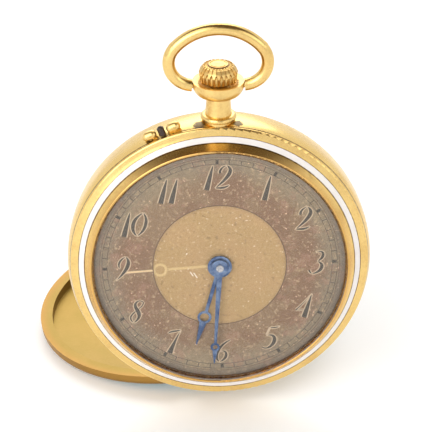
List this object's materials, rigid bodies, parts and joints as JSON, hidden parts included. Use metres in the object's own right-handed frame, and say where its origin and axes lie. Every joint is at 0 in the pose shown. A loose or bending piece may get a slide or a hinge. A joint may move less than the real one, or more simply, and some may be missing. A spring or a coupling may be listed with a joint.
{
  "type": "open-face pocket watch",
  "caption": "Lady's gold open-face fob watch with winding movement, blued hands, pin-set pusher and hinged enamelled back cover standing open.",
  "frame": {"origin": "middle of the bow's eye, on the stem's axis", "axes": "+Z to 12 o'clock, -Y out of the dial towards the reader, +X to 3 o'clock"},
  "size_m": [0.0333, 0.0357, 0.0423],
  "materials": {
    "gold": "polished yellow gold",
    "white_enamel": "glossy",
    "crystal": "clear",
    "gold_pin": "worn",
    "steel": "satin",
    "dark_steel": "dark, worn",
    "dial": "matt, patinated",
    "gilt": "matt gilt",
    "ruby": "polished",
    "blue_enamel": "glossy",
    "blued_steel": "blued"
  },
  "bodies": {
    "case": {"case_band": "gold", "pendant": "gold", "pendant_collar": "gold", "guard_lugs": "gold", "bezel": "gold", "bezel_enamel": "white_enamel", "crystal": "crystal", "cover_hinge_pin": "gold_pin", "inner_hinge_pin": "gold_pin", "case_screws": "steel", "dial": "dial", "dial_centre": "gilt", "main_plate": "gilt", "barrel_bridge": "gilt", "train_bridge": "gilt", "balance_cock": "gilt", "pallet_bridge": "gilt", "bridge_screws": "steel", "bearing_jewels": "ruby", "hairspring_stud": "steel", "click_spring": "steel", "pusher_spring": "steel", "crown_wheel_screw": "steel", "regulator": "steel", "hairspring": "blued_steel"},
    "cover": {"back_cover": "gold", "cover_enamel": "blue_enamel"},
    "inner_cover": {"inner_cover": "gold"},
    "bow": {"bow": "gold"},
    "crown": {"crown": "gold", "crown_cap": "gold", "winding_stem": "steel", "winding_pinion": "steel"},
    "crown_wheel": {"crown_wheel": "steel"},
    "ratchet": {"ratchet_wheel": "steel", "ratchet_screw": "steel", "barrel_arbor": "steel"},
    "click": {"click": "steel"},
    "minute_hand": {"minute_hand": "blued_steel", "cannon_pinion": "steel"},
    "minute_wheel": {"minute_wheel": "gilt"},
    "setting_wheel": {"setting_wheel": "steel"},
    "hour_hand": {"hour_hand": "blued_steel", "hour_wheel": "gilt"},
    "fourth_wheel": {"fourth_wheel": "gilt"},
    "third_wheel": {"third_wheel": "gilt"},
    "centre_wheel": {"centre_wheel": "gilt"},
    "barrel": {"barrel": "gilt", "barrel_lid": "gilt", "mainspring": "steel"},
    "escape_wheel": {"escape_wheel": "steel"},
    "balance": {"balance_wheel": "gilt", "balance_staff": "steel"},
    "pallet_fork": {"pallet_fork": "steel"},
    "pusher": {"pusher": "dark_steel"},
    "setting_lever": {"setting_lever": "steel"}
  },
  "joints": [
    {"name": "cover_hinge", "type": "hinge", "parent": "case", "child": "cover", "pos_m": [-0.0008, 0.00255, -0.03568], "axis": [0.9805, 0.1891, -0.0531], "range_deg": [0, 88.7]},
    {"name": "inner_cover_hinge", "type": "hinge", "parent": "case", "child": "inner_cover", "pos_m": [-0.00072, 0.0021, -0.03428], "axis": [0.9985, 0, -0.0541], "range_deg": [-72, 0]},
    {"name": "bow_pivot", "type": "hinge", "parent": "case", "child": "bow", "pos_m": [0, 0, -0.0024], "axis": [1, 0, 0], "range_deg": [-85, 85]},
    {"name": "crown_turn", "type": "hinge", "parent": "case", "child": "crown", "pos_m": [0, 0, -0.001], "axis": [0, 0, 1], "continuous": true},
    {"name": "crown_wheel_turn", "type": "hinge", "parent": "case", "child": "crown_wheel", "pos_m": [0, 0.00145, -0.01338], "axis": [0, 1, 0], "continuous": true},
    {"name": "ratchet_turn", "type": "hinge", "parent": "case", "child": "ratchet", "pos_m": [-0.00537, 0.00145, -0.0179], "axis": [0, 1, 0], "continuous": true},
    {"name": "click_pivot", "type": "hinge", "parent": "case", "child": "click", "pos_m": [-0.00972, 0.0015, -0.02181], "axis": [0, 1, 0], "range_deg": [-6, 0], "stiffness_Nm_per_rad": 0.0005},
    {"name": "minute_hand_turn", "type": "hinge", "parent": "case", "child": "minute_hand", "pos_m": [0, -0.0028, -0.021], "axis": [0, 1, 0], "continuous": true},
    {"name": "minute_wheel_turn", "type": "hinge", "parent": "case", "child": "minute_wheel", "pos_m": [0.00208, -0.0012, -0.0198], "axis": [0, 1, 0], "continuous": true},
    {"name": "setting_wheel_turn", "type": "hinge", "parent": "case", "child": "setting_wheel", "pos_m": [0.00077, -0.0012, -0.01699], "axis": [0, 1, 0], "continuous": true},
    {"name": "hour_hand_turn", "type": "hinge", "parent": "case", "child": "hour_hand", "pos_m": [0, -0.0025, -0.021], "axis": [0, 1, 0], "continuous": true},
    {"name": "fourth_wheel_turn", "type": "hinge", "parent": "case", "child": "fourth_wheel", "pos_m": [0.00199, 0.0004, -0.02723], "axis": [0, 1, 0], "continuous": true},
    {"name": "third_wheel_turn", "type": "hinge", "parent": "case", "child": "third_wheel", "pos_m": [0.00123, 0.0004, -0.02438], "axis": [0, 1, 0], "continuous": true},
    {"name": "centre_wheel_turn", "type": "hinge", "parent": "case", "child": "centre_wheel", "pos_m": [0, 0.0004, -0.021], "axis": [0, 1, 0], "continuous": true},
    {"name": "barrel_turn", "type": "hinge", "parent": "case", "child": "barrel", "pos_m": [-0.00537, 0, -0.0179], "axis": [0, 1, 0], "continuous": true},
    {"name": "escape_wheel_turn", "type": "hinge", "parent": "case", "child": "escape_wheel", "pos_m": [0.00457, 0.0004, -0.02678], "axis": [0, 1, 0], "continuous": true},
    {"name": "balance_swing", "type": "hinge", "parent": "case", "child": "balance", "pos_m": [0.00663, 0.0006, -0.02271], "axis": [0, 1, 0], "range_deg": [-135, 135], "stiffness_Nm_per_rad": 0.00000008},
    {"name": "pallet_fork_swing", "type": "hinge", "parent": "case", "child": "pallet_fork", "pos_m": [0.00569, 0, -0.02545], "axis": [0, 1, 0], "range_deg": [-5, 5]},
    {"name": "pusher_slide", "type": "slide", "parent": "case", "child": "pusher", "axis": [0.3681, 0, -0.9298], "range_m": [0, 0.0006], "stiffness_N_per_m": 20},
    {"name": "setting_lever_swing", "type": "hinge", "parent": "case", "child": "setting_lever", "pos_m": [-0.0062, -0.0015, -0.0126], "axis": [0, 1, 0], "range_deg": [0, 10.83]}
  ],
  "couplings": [
    {"joint": "crown_wheel_turn", "follows": "crown_turn", "ratio": -0.53846},
    {"joint": "ratchet_turn", "follows": "crown_turn", "ratio": 0.26923},
    {"joint": "minute_wheel_turn", "follows": "minute_hand_turn", "ratio": -0.33333},
    {"joint": "setting_wheel_turn", "follows": "minute_hand_turn", "ratio": 0.46154},
    {"joint": "hour_hand_turn", "follows": "minute_hand_turn", "ratio": 0.083333},
    {"joint": "third_wheel_turn", "follows": "fourth_wheel_turn", "ratio": -0.13333},
    {"joint": "centre_wheel_turn", "follows": "fourth_wheel_turn", "ratio": 0.016667},
    {"joint": "barrel_turn", "follows": "fourth_wheel_turn", "ratio": -0.0020833},
    {"joint": "escape_wheel_turn", "follows": "fourth_wheel_turn", "ratio": -10},
    {"joint": "pallet_fork_swing", "follows": "balance_swing", "ratio": -0.037037},
    {"joint": "setting_lever_swing", "follows": "pusher_slide", "rad_per_m": 315.09}
  ]
}
